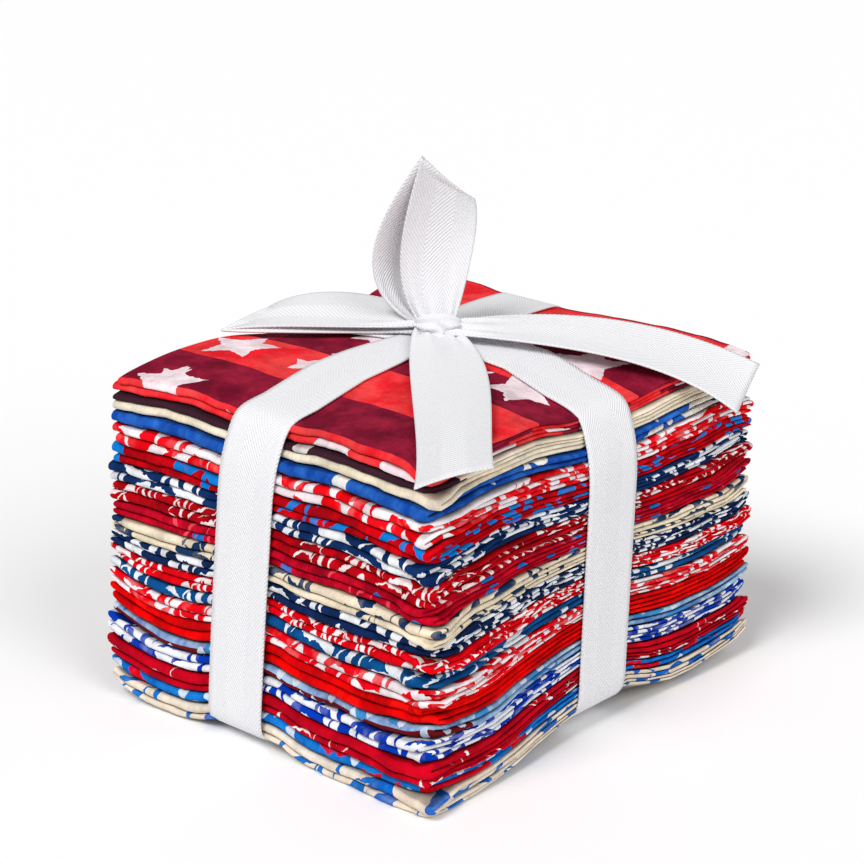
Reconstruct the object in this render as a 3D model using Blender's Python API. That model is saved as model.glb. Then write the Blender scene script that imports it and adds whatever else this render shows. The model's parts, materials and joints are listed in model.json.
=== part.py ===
"""Fat quarter bundle: nineteen folded lengths of cotton in a stack, tied both ways with one tape and a bow.

Each folded cloth is one back-and-forth section, carried along X, so its rounded folds show on the -Y face
and the edges of its layers show on the +X and -X faces. The stack is a pillow: crowned on top, pulled in
where the tape goes over its edges, and drawn up underneath there. All the packets share one family of level
surfaces, so neighbours never meet.

Sizes are in millimetres here and become metres when a mesh is made. The origin lies on the surface that the
bundle stands on, where the two windings of the tape cross.
"""

import math

import bmesh
import bpy
import numpy as np

MM = 0.001

# Stack
STACK_LENGTH = 135.0
STACK_DEPTH = 155.0
CENTRE_X = 9.0
CENTRE_Y = -5.0
CORNER_HEIGHT = 107.0
CROWN = 6.0
EDGE_STRIP = 16.0
PACKET_GAP = 0.3
LAYER_GAP = 0.2

# Tape
TAPE_WIDTH = 23.0
TAPE_THICKNESS = 1.0
TAPE_CLEARANCE = 0.3
TAPE_SEAT = TAPE_THICKNESS + TAPE_CLEARANCE
TAPE_LANE = TAPE_WIDTH / 2 + 0.7
PULL_REACH = 30.0

# How far the tape draws the stack's edge up underneath and inwards, side by side.
SIDES = ("front", "back", "left", "right")
BOTTOM_PULL = dict(zip(SIDES, (2.5, 4.0, 4.0, 9.0)))
FACE_PULL = 1.5

# The top's rim: it puffs up between the corners, more towards one end, and the tape presses a dip into it.
TOP_RIM = (
    # side, puff, share more at the far or right end, dip, reach of the dip beside the tape
    ("front", 2.4, 0.4, 3.2, 14.0),
    ("back", 2.8, 0.0, 5.5, 12.0),
    ("left", 5.2, 0.0, 5.0, 18.0),
    ("right", 3.0, -0.8, 7.0, 18.0),
)

# Corners of the stack's underside that curl up off the surface.
CORNER_LIFTS = (
    # side along X, side along Y, lift, sharpness along X, sharpness along Y
    (1, 1, 7.0, 3.0, 1.5),
    (-1, -1, 4.0, 6.0, 3.0),
    (-1, 1, 3.0, 4.0, 3.0),
)

# The cloths, from the top one down.
FABRICS = (
    # name, pitch, layers, share of the upper fold, shift along X, shift along Y, colour
    ("fabric_01_star_stripe", 5.6, 4, 0.50, -0.8, 1.6, "7A1128"),
    ("fabric_02_plum_dot", 5.8, 4, 0.46, 0.3, 0.9, "E8DCC8"),
    ("fabric_03_royal", 4.6, 2, 0.50, -0.6, 0.7, "1450B4"),
    ("fabric_04_scarlet_leaf", 7.0, 4, 0.50, 0.9, -0.3, "E02334"),
    ("fabric_05_red_blue_patch", 6.4, 4, 0.60, 0.2, 0.2, "C4121F"),
    ("fabric_06_navy_leaf", 6.2, 4, 0.50, -0.4, -0.6, "1B3A6B"),
    ("fabric_07_deep_red_comb", 7.2, 4, 0.44, 0.6, -0.2, "B3101F"),
    ("fabric_08_crimson_dot", 6.0, 4, 0.58, -0.9, 0.5, "BE1A35"),
    ("fabric_09_cream_navy", 6.4, 4, 0.60, 0.4, -0.7, "EFE2CB"),
    ("fabric_10_navy_petal", 6.2, 4, 0.52, -0.2, 0.1, "17305E"),
    ("fabric_11_red_dash", 5.8, 4, 0.50, 0.8, 0.6, "E0172A"),
    ("fabric_12_teal", 4.6, 2, 0.50, -0.5, -0.4, "1C5D96"),
    ("fabric_13_white_red_vine", 6.4, 4, 0.60, 0.5, -0.8, "F3E9EC"),
    ("fabric_14_bright_red", 7.6, 4, 0.50, -0.3, 0.3, "E50B0B"),
    ("fabric_15_periwinkle", 4.8, 2, 0.50, 0.1, 0.8, "6A84BA"),
    ("fabric_16_white_royal_vine", 6.8, 4, 0.52, -0.7, -0.5, "EEF0F7"),
    ("fabric_17_crimson_star", 7.2, 4, 0.66, 0.9, -0.9, "C0102A"),
    ("fabric_18_blue_red", 4.2, 2, 0.50, -0.3, 0.5, "1C6CC0"),
    ("fabric_19_cream_blue", 6.6, 4, 0.60, 0.5, -0.4, "EBDFCF"),
)
# How far the top packets' edges stand back under the tape, from the top one down.
TOP_SETBACK = (3.6, 1.8, 0.6)
# A packet's faces wander in and out along their length; each packet starts elsewhere on the wave.
WAVE = 0.5
WAVE_ALONG = {"length_x": 17.0, "step_x": 2.3, "length_y": 21.0, "step_y": 1.9}
# Free edges of the cloth stand back from the folds beside them, each layer further than the one under it.
END_SETBACK = 1.4
END_STAGGER = 0.5
# A fold's inside ends short of its outside by this share of the fold's radius.
FOLD_INSIDE = 0.9
FOLD_ANGLES = (40, 90, 140)

# The knot, and the bow's strips. Each strip is spanned between two edge curves, given by the control
# points of one cubic stretch after another; a stretch starts where the one before it ends.
KNOT_CENTRE = (3.0, 3.0, 118.2)
KNOT_SIZE = (21.0, 17.0, 9.6)
STRIP_STEPS = 9
BOW_STRIPS = {
    "upright loop": (
        ((1, -1, 117.5), (-13, -5, 130), (-5, -5, 150), (4, -5.4, 175),
         (-6, -8, 160), (-30, -11, 130), (-5, 0, 117.5)),
        ((8, 4, 117.5), (9, 9, 128), (10, 17, 150), (8, 15, 158),
         (-4, 19, 158), (-18, 14, 132), (-3, 5, 118)),
    ),
    "left loop": (
        ((0, -2, 118.8), (-20, -10, 113.8), (-45, -27, 116), (-54, -38, 113.8),
         (-57, -41.7, 113.1), (-24, -8, 112), (0, -1, 115.5)),
        ((-2, 6, 119.5), (-20, 13, 123), (-46, 0, 126), (-53, -14, 119.5),
         (-56, -20, 116.5), (-24, 12, 113.5), (-2, 6, 116)),
    ),
    "right tail": (
        ((5, 7, 119), (32, 42, 122), (60, 56, 117), (83, 68.5, 106)),
        ((9, -1, 117.5), (40, 16, 116), (71.9, 30.9, 116.5), (92.9, 42.9, 98.5)),
    ),
    "front tail": (
        ((-3, -1, 116.5), (8, -21, 115), (61.1, -67.5, 112), (83.6, -97, 110.5)),
        ((9, 5, 117), (38, -5, 115), (67.9, -48.1, 115), (92.4, -73.6, 112.5)),
    ),
}


def srgb(code):
    """Linear colour from an sRGB hex code."""
    values = np.array([int(code[i : i + 2], 16) for i in (0, 2, 4)]) / 255
    linear = np.where(values <= 0.04045, values / 12.92, ((values + 0.055) / 1.055) ** 2.4)
    return (*linear.tolist(), 1.0)


def material(name, colour, roughness):
    mat = bpy.data.materials.new(name)
    mat.use_nodes = True
    shader = mat.node_tree.nodes["Principled BSDF"]
    shader.inputs["Base Color"].default_value = srgb(colour)
    shader.inputs["Roughness"].default_value = roughness
    return mat


def clear_scene():
    for obj in list(bpy.data.objects):
        bpy.data.objects.remove(obj)


# Level surfaces of the stack


def stations(half_size, centre):
    """Grid lines across the stack: its edges, the strips beside them and the tape's lane."""
    inner = half_size - EDGE_STRIP
    return np.array([
        centre - half_size, centre - inner, -TAPE_LANE, TAPE_LANE, centre + inner, centre + half_size
    ])


GRID_X = stations(STACK_LENGTH / 2, CENTRE_X)
GRID_Y = stations(STACK_DEPTH / 2, CENTRE_Y)


def near_tape(distance):
    """1 in the tape's lane, falling as a bell curve on both sides of it."""
    return np.exp(-((np.maximum(np.abs(distance) - TAPE_LANE, 0) / PULL_REACH) ** 2))


def side_sums(x, y, pulls, power):
    """Each side's pull, strongest at that side's edge and in the tape's lane."""
    u = (x - CENTRE_X) / (STACK_LENGTH / 2)
    v = (y - CENTRE_Y) / (STACK_DEPTH / 2)
    toward = {"front": -v, "back": v, "left": -u, "right": u}
    across = {"front": x, "back": x, "left": y, "right": y}
    total = 0 * u
    for side in SIDES:
        total = total + pulls[side] * np.maximum(toward[side], 0) ** power * near_tape(across[side])
    return total


def crowned_height(x, y):
    """A crown over the corners' height."""
    u = (x - CENTRE_X) / (STACK_LENGTH / 2)
    v = (y - CENTRE_Y) / (STACK_DEPTH / 2)
    return CORNER_HEIGHT + CROWN * (1 - u**2) * (1 - v**2)


def rim_height(x, y):
    """What each side's rim adds to the top: its puff less the tape's dip, fading towards the middle."""
    u = (x - CENTRE_X) / (STACK_LENGTH / 2)
    v = (y - CENTRE_Y) / (STACK_DEPTH / 2)
    toward = {"front": -v, "back": v, "left": -u, "right": u}
    total = 0 * u
    for side, puff, more, dip, reach in TOP_RIM:
        across, along = (x, u) if side in ("front", "back") else (y, v)
        beside = np.maximum(np.abs(across) - TAPE_LANE, 0)
        rim = puff * (1 - along**4) * (1 + more * along) - dip * np.exp(-((beside / reach) ** 2))
        total = total + rim * np.maximum(toward[side], 0) ** 2
    return total


def bottom_height(x, y):
    """Flat on the surface, but for the seat over the tape, the drawn-up edges and the curled corners."""
    u = (x - CENTRE_X) / (STACK_LENGTH / 2)
    v = (y - CENTRE_Y) / (STACK_DEPTH / 2)
    strip_u = 1 - EDGE_STRIP / (STACK_LENGTH / 2)
    strip_v = 1 - EDGE_STRIP / (STACK_DEPTH / 2)
    out_u = np.maximum((np.abs(u) - strip_u) / (1 - strip_u), 0)
    out_v = np.maximum((np.abs(v) - strip_v) / (1 - strip_v), 0)
    edge_x = CENTRE_X + np.sign(u) * STACK_LENGTH / 2
    edge_y = CENTRE_Y + np.sign(v) * STACK_DEPTH / 2
    rise = out_u * side_sums(edge_x, y, {**BOTTOM_PULL, "front": 0, "back": 0}, 3)
    rise = rise + out_v * side_sums(x, edge_y, {**BOTTOM_PULL, "left": 0, "right": 0}, 3)
    for side_x, side_y, lift, sharp_x, sharp_y in CORNER_LIFTS:
        corner = np.maximum(side_x * u, 0) ** sharp_x * np.maximum(side_y * v, 0) ** sharp_y
        rise = rise + np.maximum(out_u, out_v) * lift * corner
    seat = TAPE_SEAT * ((np.abs(x) <= TAPE_LANE) | (np.abs(y) <= TAPE_LANE))
    return seat + rise


def level_grids():
    """Heights of the surfaces between packets on the grid, from the top surface down to the underside."""
    x, y = np.meshgrid(GRID_X, GRID_Y, indexing="ij")
    crowned = crowned_height(x, y)
    rim = rim_height(x, y)
    bottom = bottom_height(x, y)
    pitches = np.array([row[1] for row in FABRICS])
    below = 1 - np.concatenate([[0], np.cumsum(pitches)]) / pitches.sum()
    # The rim is mostly the upper cloths' own, so it fades faster than the crown from the top downwards.
    return [bottom + (crowned - bottom) * share + rim * share**2 for share in below]


def height_at(level, x, y):
    """A level's height at points beside or between the grid lines, by straight lines along X and then Y."""
    ix = np.clip(np.searchsorted(GRID_X, x) - 1, 0, len(GRID_X) - 2)
    iy = np.clip(np.searchsorted(GRID_Y, y) - 1, 0, len(GRID_Y) - 2)
    tx = (x - GRID_X[ix]) / (GRID_X[ix + 1] - GRID_X[ix])
    ty = (y - GRID_Y[iy]) / (GRID_Y[iy + 1] - GRID_Y[iy])
    near = level[ix, iy] * (1 - tx) + level[ix + 1, iy] * tx
    far = level[ix, iy + 1] * (1 - tx) + level[ix + 1, iy + 1] * tx
    return near * (1 - ty) + far * ty


# Folded packets


def packet_edges(index, shift_x, shift_y):
    """Where a packet ends: its two ends at each line across, and its two faces at each line along."""
    half_x, half_y = STACK_LENGTH / 2, STACK_DEPTH / 2
    setback = TOP_SETBACK[index] if index < len(TOP_SETBACK) else 0
    wave_y = WAVE * np.sin(WAVE_ALONG["step_y"] * index + GRID_Y / WAVE_ALONG["length_y"])
    wave_x = WAVE * np.sin(WAVE_ALONG["step_x"] * index + GRID_X / WAVE_ALONG["length_x"])
    left = CENTRE_X - half_x + shift_x + wave_y
    right = CENTRE_X + half_x + shift_x - wave_y
    front = CENTRE_Y - half_y + shift_y + wave_x
    back = CENTRE_Y + half_y + shift_y - wave_x
    lane = slice(2, 4)
    left[lane] = CENTRE_X - half_x + FACE_PULL + setback
    right[lane] = CENTRE_X + half_x - FACE_PULL - setback
    front[lane] = CENTRE_Y - half_y + FACE_PULL + setback
    back[lane] = CENTRE_Y + half_y - FACE_PULL - setback
    return left, right, front, back


def layer_shares(layers, upper):
    """Each layer's share of the packet's cloth, from the lowest up; the upper fold takes its own share."""
    if layers == 2:
        return np.array([0.5, 0.5])
    return np.array([1 - upper, 1 - upper, upper, upper]) / 2


class Packet:
    """One cloth folded back and forth: the points of its section at each station along X.

    Its layers count from the lowest one. The first and second are joined by a fold at the front, the second
    and third by one at the back, the third and fourth again at the front.
    """

    def __init__(self, index, row, upper_level, lower_level):
        self.name, _, self.layers, upper, shift_x, shift_y, self.colour = row
        self.shares = layer_shares(self.layers, upper)
        self.left, self.right, self.front, self.back = packet_edges(index, shift_x, shift_y)
        self.upper_level = upper_level
        self.lower_level = lower_level

    def x_at(self, station, y):
        """X of a section's point: the grid line, or at the ends the packet's own edge."""
        if station == 0:
            return float(np.interp(y, GRID_Y, self.left))
        if station == len(GRID_X) - 1:
            return float(np.interp(y, GRID_Y, self.right))
        return float(GRID_X[station])

    def surface(self, station, y, layer, side):
        """A point on a layer's lower (side 0) or upper (side 1) surface."""
        x = self.x_at(station, y)
        low = float(height_at(self.lower_level, x, y))
        high = float(height_at(self.upper_level, x, y)) - PACKET_GAP
        cloth = high - low - LAYER_GAP * (self.layers - 1)
        z = low + LAYER_GAP * layer + cloth * float(self.shares[: layer + side].sum())
        return np.array([x, y, z])

    def is_outer(self, layer, side, at_front):
        """Whether a layer's surface runs round the outside of the fold at that face."""
        partner = layer + 1 if side else layer - 1
        folded = self.partner(layer, at_front)
        return folded is not None and partner != folded

    def partner(self, layer, at_front):
        """The layer that this one is folded to at the front or at the back."""
        if at_front:
            return layer ^ 1
        other = layer - 1 if layer % 2 == 0 else layer + 1
        return other if 0 <= other < self.layers else None

    def fold_radius(self, station, lower, at_front):
        y = self.front[station] if at_front else self.back[station]
        bottom = self.surface(station, y, lower, 0)[2]
        top = self.surface(station, y, lower + 1, 1)[2]
        return (top - bottom) / 2

    def run_end(self, station, layer, side, at_front):
        """Y at which a layer's surface stops: at its fold's arc, its fold's inside or its free edge."""
        y = self.front[station] if at_front else self.back[station]
        inward = 1 if at_front else -1
        folded = self.partner(layer, at_front)
        if folded is None:
            return y + inward * (END_SETBACK + END_STAGGER * layer)
        radius = self.fold_radius(station, min(layer, folded), at_front)
        return y + inward * radius * (1 if self.is_outer(layer, side, at_front) else FOLD_INSIDE)

    def run(self, station, layer, side):
        """A layer's surface from its front end to its back end."""
        ends = [self.run_end(station, layer, side, at_front) for at_front in (True, False)]
        lines = [ends[0], *GRID_Y[1:-1], ends[1]]
        return [self.surface(station, y, layer, side) for y in lines]

    def arc(self, station, lower, at_front):
        """The rounded fold between two layers, from the upper one's top to the lower one's underside."""
        start = self.run(station, lower + 1, 1)[0 if at_front else -1]
        end = self.run(station, lower, 0)[0 if at_front else -1]
        middle, half = (start + end) / 2, (start[2] - end[2]) / 2
        outward = -1 if at_front else 1
        points = []
        for angle in np.radians(FOLD_ANGLES):
            y = middle[1] + outward * half * math.sin(angle)
            x = self.x_at(station, y)
            points.append(np.array([x, y, middle[2] + half * math.cos(angle)]))
        return points

    def section(self, station):
        """The closed outline of the folded cloth as (points, keys); a key names each point's place."""
        points, keys = [], []

        def add_run(layer, side, reverse):
            run = list(enumerate(self.run(station, layer, side)))
            for line, point in run[::-1] if reverse else run:
                points.append(point)
                keys.append((layer, side, line))

        def add_arc(lower, at_front, reverse):
            arc = list(enumerate(self.arc(station, lower, at_front)))
            for step, point in arc[::-1] if reverse else arc:
                points.append(point)
                keys.append(("arc", lower, step))

        if self.layers == 2:
            add_run(1, 1, True)
            add_arc(0, True, False)
            add_run(0, 0, False)
            add_run(0, 1, True)
            add_run(1, 0, False)
            return points, keys
        add_run(3, 1, True)
        add_arc(2, True, False)
        add_run(2, 0, False)
        add_run(1, 1, True)
        add_arc(0, True, False)
        add_run(0, 0, False)
        add_run(0, 1, True)
        add_run(1, 0, False)
        add_arc(1, False, True)
        add_run(2, 1, True)
        add_run(3, 0, False)
        return points, keys

    def cap_faces(self, keys, start):
        """Faces that close an end: strips between each layer's two surfaces, and a patch in each fold."""
        place = {key: start + number for number, key in enumerate(keys)}
        last = len(GRID_Y) - 1
        faces = []
        for layer in range(self.layers):
            for line in range(last):
                faces.append([
                    place[layer, 0, line], place[layer, 0, line + 1],
                    place[layer, 1, line + 1], place[layer, 1, line],
                ])
        for lower, line in [(0, 0), (2, 0), (1, last)][: 1 if self.layers == 2 else 3]:
            outer = [place["arc", lower, step] for step in range(len(FOLD_ANGLES))]
            faces.append([
                place[lower + 1, 1, line], *outer, place[lower, 0, line],
                place[lower, 1, line], place[lower + 1, 0, line],
            ])
        return faces

    def build(self):
        sections = [self.section(station) for station in range(len(GRID_X))]
        keys = sections[0][1]
        count = len(keys)
        points = [point for section, _ in sections for point in section]
        faces = []
        for station in range(len(GRID_X) - 1):
            for here in range(count):
                ahead = (here + 1) % count
                a, d = station * count + here, station * count + ahead
                b, c = a + count, d + count
                if points[d][1] > points[a][1]:
                    faces += [[a, b, c], [a, c, d]]
                else:
                    faces += [[a, b, d], [b, c, d]]
        faces += self.cap_faces(keys, 0)
        faces += self.cap_faces(keys, count * (len(GRID_X) - 1))
        return make_object(self.name, points, faces, material(self.name, self.colour, 0.85))


# Tape


def outline_round(points):
    """The outer points of a flat cloud, going round it, a layer's gap apart or more."""
    points = sorted({(round(float(a), 3), round(float(b), 3)) for a, b in points})

    def half(run):
        chain = []
        for point in run:
            while len(chain) > 1:
                (ax, ay), (bx, by) = chain[-2], chain[-1]
                if (bx - ax) * (point[1] - ay) - (by - ay) * (point[0] - ax) > 0:
                    break
                chain.pop()
            chain.append(point)
        return chain[:-1]

    kept = []
    for point in half(points) + half(points[::-1]):
        if not kept or math.dist(point, kept[-1]) >= LAYER_GAP:
            kept.append(point)
    return np.array(kept)


def moved_out(outline, distance):
    """The outline with every side moved outwards by the same distance."""
    ahead = np.roll(outline, -1, axis=0) - outline
    normals = np.column_stack([ahead[:, 1], -ahead[:, 0]])
    normals /= np.linalg.norm(normals, axis=1, keepdims=True)
    before = np.roll(normals, 1, axis=0)
    share = 1 + np.sum(normals * before, axis=1, keepdims=True)
    return outline + distance * (normals + before) / share


def winding(name, packets, along_y, mat):
    """The tape's turn round the stack: round its section in the lane, flat underneath and on top."""
    cloud = [
        point
        for packet in packets
        for station in range(len(GRID_X))
        for point in packet.section(station)[0]
        if abs(point[0] if along_y else point[1]) <= TAPE_LANE + LAYER_GAP
    ]
    flat = [(point[1] if along_y else point[0], point[2]) for point in cloud]
    outline = outline_round(flat)
    inner = moved_out(outline, TAPE_CLEARANCE)
    outer = moved_out(outline, TAPE_CLEARANCE + TAPE_THICKNESS)
    rings = []
    for loop in (inner, outer):
        for side in (-TAPE_WIDTH / 2, TAPE_WIDTH / 2):
            if along_y:
                rings.append([(side, a, z) for a, z in loop])
            else:
                rings.append([(a, side, z) for a, z in loop])
    count = len(outline)
    points = [point for ring in rings for point in ring]
    faces = []
    for first, second in ((0, 1), (1, 3), (3, 2), (2, 0)):
        for here in range(count):
            ahead = (here + 1) % count
            faces.append([
                first * count + here, first * count + ahead, second * count + ahead, second * count + here
            ])
    return make_object(name, points, faces, mat)


def cubic_path(controls):
    """Points along cubic stretches of four control points; neighbouring stretches share one."""
    controls = np.array(controls, float)
    t = np.linspace(0, 1, STRIP_STEPS + 1)[:, None]
    points = [controls[:1]]
    for start in range(0, len(controls) - 1, 3):
        a, b, c, d = controls[start : start + 4]
        stretch = (1 - t) ** 3 * a + 3 * t * (1 - t) ** 2 * b + 3 * t**2 * (1 - t) * c + t**3 * d
        points.append(stretch[1:])
    return np.concatenate(points)


def strip(name, edges, mat):
    """A strip of tape between two edge curves, half its thickness to each side of them."""
    near, far = (cubic_path(edge) for edge in edges)
    along = np.gradient((near + far) / 2, axis=0)
    normal = np.cross(along, far - near)
    normal *= TAPE_THICKNESS / 2 / np.linalg.norm(normal, axis=1, keepdims=True)
    rings = np.stack([near - normal, far - normal, far + normal, near + normal], axis=1)
    faces = [[0, 1, 2, 3]]
    for step in range(len(rings) - 1):
        for corner in range(4):
            ahead = (corner + 1) % 4
            faces.append([
                4 * step + corner, 4 * step + ahead, 4 * step + 4 + ahead, 4 * step + 4 + corner
            ])
    last = 4 * (len(rings) - 1)
    faces.append([last + corner for corner in (3, 2, 1, 0)])
    return make_object(name, rings.reshape(-1, 3), faces, mat)


def knot(name, mat):
    """The knot where the two windings and the bow meet: a flattened ball."""
    solid = bmesh.new()
    bmesh.ops.create_icosphere(solid, subdivisions=2, radius=0.5)
    points = [np.array(vert.co) * KNOT_SIZE + KNOT_CENTRE for vert in solid.verts]
    faces = [[vert.index for vert in face.verts] for face in solid.faces]
    solid.free()
    return make_object(name, points, faces, mat)


def fuse(name, parts):
    """One object from parts that run into each other."""
    body = parts[0]
    for part in parts[1:]:
        join = body.modifiers.new("join", "BOOLEAN")
        join.operation = "UNION"
        join.solver = "EXACT"
        join.object = part
    evaluated = body.evaluated_get(bpy.context.evaluated_depsgraph_get())
    mesh = bpy.data.meshes.new_from_object(evaluated)
    mesh.name = name
    for part in parts:
        bpy.data.objects.remove(part)
    obj = bpy.data.objects.new(name, mesh)
    bpy.context.scene.collection.objects.link(obj)
    return obj


def tape(packets):
    """One tape: a winding each way, the knot on top, two loops and two free ends."""
    mat = material("tape", "F2F2F2", 0.8)
    parts = [winding("winding along y", packets, True, mat), winding("winding along x", packets, False, mat)]
    parts.append(knot("knot", mat))
    parts += [strip(name, edges, mat) for name, edges in BOW_STRIPS.items()]
    return fuse("tape", parts)


def make_object(name, points, faces, mat):
    """A closed mesh object from points in millimetres, with its faces turned outwards."""
    mesh = bpy.data.meshes.new(name)
    mesh.from_pydata((np.array(points) * MM).tolist(), [], faces)
    solid = bmesh.new()
    solid.from_mesh(mesh)
    bmesh.ops.triangulate(solid, faces=[face for face in solid.faces if len(face.verts) > 3])
    bmesh.ops.recalc_face_normals(solid, faces=solid.faces)
    if solid.calc_volume(signed=True) < 0:
        bmesh.ops.reverse_faces(solid, faces=solid.faces)
    solid.to_mesh(mesh)
    solid.free()
    mesh.materials.append(mat)
    obj = bpy.data.objects.new(name, mesh)
    bpy.context.scene.collection.objects.link(obj)
    return obj


def main():
    clear_scene()
    levels = level_grids()
    packets = [Packet(index, row, levels[index], levels[index + 1]) for index, row in enumerate(FABRICS)]
    for packet in packets:
        packet.build()
    tape(packets)


main()
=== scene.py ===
"""Fat quarter bundle: the folded cloths, their prints, the twill tape with its bow, and a pale studio.

The stack's shape is the one that the solids have, drawn finer and less even. Sizes inside the functions are
in millimetres and become metres when a mesh is made. Every cloth and every length of tape is a sheet with a
UV map in millimetres of flat cloth, so that prints and weaves keep their real size and follow the folds.
"""

import json
import math

import bpy
import numpy as np
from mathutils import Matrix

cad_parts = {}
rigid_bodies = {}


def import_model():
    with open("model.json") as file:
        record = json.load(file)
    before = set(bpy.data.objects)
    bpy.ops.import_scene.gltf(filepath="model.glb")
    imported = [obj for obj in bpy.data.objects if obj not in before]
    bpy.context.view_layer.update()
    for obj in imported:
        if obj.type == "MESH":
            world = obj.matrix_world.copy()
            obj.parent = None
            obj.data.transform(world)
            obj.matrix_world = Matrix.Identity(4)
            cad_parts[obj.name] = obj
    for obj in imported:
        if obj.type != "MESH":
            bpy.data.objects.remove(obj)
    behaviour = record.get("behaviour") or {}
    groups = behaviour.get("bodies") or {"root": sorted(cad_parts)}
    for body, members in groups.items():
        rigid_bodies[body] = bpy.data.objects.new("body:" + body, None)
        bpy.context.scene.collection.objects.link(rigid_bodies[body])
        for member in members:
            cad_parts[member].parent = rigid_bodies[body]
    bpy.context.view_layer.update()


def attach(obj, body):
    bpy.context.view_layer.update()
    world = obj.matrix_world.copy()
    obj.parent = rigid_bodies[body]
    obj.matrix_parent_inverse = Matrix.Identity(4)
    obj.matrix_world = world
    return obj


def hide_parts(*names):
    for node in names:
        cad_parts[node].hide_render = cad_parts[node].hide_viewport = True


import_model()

bl_info = {
    "name": "Fat quarter bundle",
    "version": (1, 0, 0),
    "blender": (4, 5, 0),
    "location": "3D View > Sidebar > Bundle",
    "description": "Builds a tied stack of folded quilting cottons with its tape, bow and studio",
    "category": "Object",
}

MM = 0.001

# The stack: its middle, and the gap between two packets. The tape's lane is wider than the tape by the
# clearance on each side, and its pull on the cloths fades over the reach beside it.
CENTRE_X = 9.0
CENTRE_Y = -5.0
PACKET_GAP = 0.3
LANE_CLEARANCE = 0.7
PULL_REACH = 30.0
BOTTOM_PULL = (
    # side, how far the tape draws the underside's edge up, reach left of or before the tape, reach beyond it
    ("front", 2.5, 11.0, 11.0),
    ("back", 4.0, 30.0, 30.0),
    ("left", 4.0, 30.0, 30.0),
    ("right", 9.0, 30.0, 18.0),
)
# Under the tape all cloths' edges stand back by the pull, and the top ones by this much more.
FACE_PULL = 1.5
TOP_SETBACK = (5.0, 3.0, 1.4, 0.5)
# The stack leans: at the left the fronts of lower cloths come further forward; at the right all backs stand
# further out, those of lower cloths more.
FRONT_FLARE = 4.8
BACK_LEAN = 1.5
BACK_FLARE = 3.0
# The top's rim: it puffs up between the corners, more towards one end, and the tape presses a dip into it.
TOP_RIM = (
    # side, puff, share more at the far or right end, dip, reach of the dip beside the tape, tape's middle
    ("front", 2.4, 0.4, 3.2, 14.0, 2.6),
    ("back", 3.6, 0.0, 1.0, 12.0, -9.0),
    ("left", 5.8, 0.0, 5.0, 18.0, 0.0),
    ("right", 3.0, -0.8, 7.0, 18.0, 3.7),
)
CORNER_LIFTS = (
    # side along X, side along Y, lift, sharpness along X, sharpness along Y
    (1, 1, 7.0, 3.0, 1.5),
    (-1, -1, 4.0, 6.0, 3.0),
    (-1, 1, 3.0, 4.0, 3.0),
)
# The underside rises in a strip of this width along its edges, by this power of the way outwards. Over the
# tape it has a seat of this depth, which ends softly over the blend.
EDGE_STRIP = 16.0
EDGE_POWER = 1.3
TAPE_SEAT = 1.3
SEAT_BLEND = 8.0

# How uneven the stack is: (wave length, amount). The level surfaces ripple along the faces and at the front
# corner, each fold wanders in and out and shares its packet's height unevenly with its neighbour. A line that
# wanders is a sum of waves: each one's share of the wave length, and its share of the amount.
WAVES = ((1.0, 0.6), (0.61, 0.3), (0.37, 0.2))
RIPPLE_FRONT = (67, 0.9)
RIPPLE_RIGHT = (61, 1.9)
CORNER_RIPPLE = (11, 1.2)
# From the underside to the top these ripples move along by so much, in the same order. They fade towards
# both: they are multiplied by the share of the way up, that of the way down and this factor, by 1 at most.
RIPPLE_DRIFTS = (90, 70, 60)
RIPPLE_FADE = 6
FOLD_WANDER = (47, 0.9)
FOLD_PUCKER = (13, 0.3)
END_WANDER = (59, 0.8)
SHARE_WANDER = (43, 0.32)
# Those shares vary slantwise over a cloth: a step along Y counts as this much of one along X.
SHARE_SLANT = 0.6
# Fold ends at the front corner are crumpled: they slip along X and Y by up to this, over this distance.
CORNER_SLIP = 2.5
CORNER_REACH = 15.0
# That corner is also rounded in plan, in a square of this side.
CORNER_ROUND = 5.0
# At their left ends the folds slip too; the top cloth's upper fold stands back by more.
LEFT_SLIP = 1.2
TOP_LEFT_SLIP = 3.0

# The cloths, from the top one down. Each is a cut of 457 by 550 mm.
FABRICS = (
    # node, pitch, folded runs, share of the upper fold, shift along X, shift along Y
    ("fabric_01_star_stripe", 5.6, 4, 0.50, -0.8, 1.6),
    ("fabric_02_plum_dot", 5.8, 4, 0.38, 0.3, 0.9),
    ("fabric_03_royal", 4.6, 2, 0.50, -0.6, 0.7),
    ("fabric_04_scarlet_leaf", 7.0, 4, 0.50, 0.9, -0.3),
    ("fabric_05_red_blue_patch", 6.4, 4, 0.60, 0.2, 0.2),
    ("fabric_06_navy_leaf", 6.2, 4, 0.50, -0.4, -0.6),
    ("fabric_07_deep_red_comb", 7.2, 4, 0.44, 0.6, -0.2),
    ("fabric_08_crimson_dot", 6.0, 4, 0.58, -0.9, 0.5),
    ("fabric_09_cream_navy", 6.4, 4, 0.60, 0.4, -0.7),
    ("fabric_10_navy_petal", 6.2, 4, 0.52, -0.2, 0.1),
    ("fabric_11_red_dash", 5.8, 4, 0.50, 0.8, 0.6),
    ("fabric_12_teal", 4.6, 2, 0.50, -0.5, -0.4),
    ("fabric_13_white_red_vine", 6.4, 4, 0.60, 0.5, -0.8),
    ("fabric_14_bright_red", 7.6, 4, 0.50, -0.3, 0.3),
    ("fabric_15_periwinkle", 4.8, 2, 0.50, 0.1, 0.8),
    ("fabric_16_white_royal_vine", 6.8, 4, 0.52, -0.7, -0.5),
    ("fabric_17_crimson_star", 7.2, 4, 0.66, 0.9, -0.9),
    ("fabric_18_blue_red", 4.2, 2, 0.50, -0.3, 0.5),
    ("fabric_19_cream_blue", 6.6, 4, 0.60, 0.5, -0.4),
)
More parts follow.
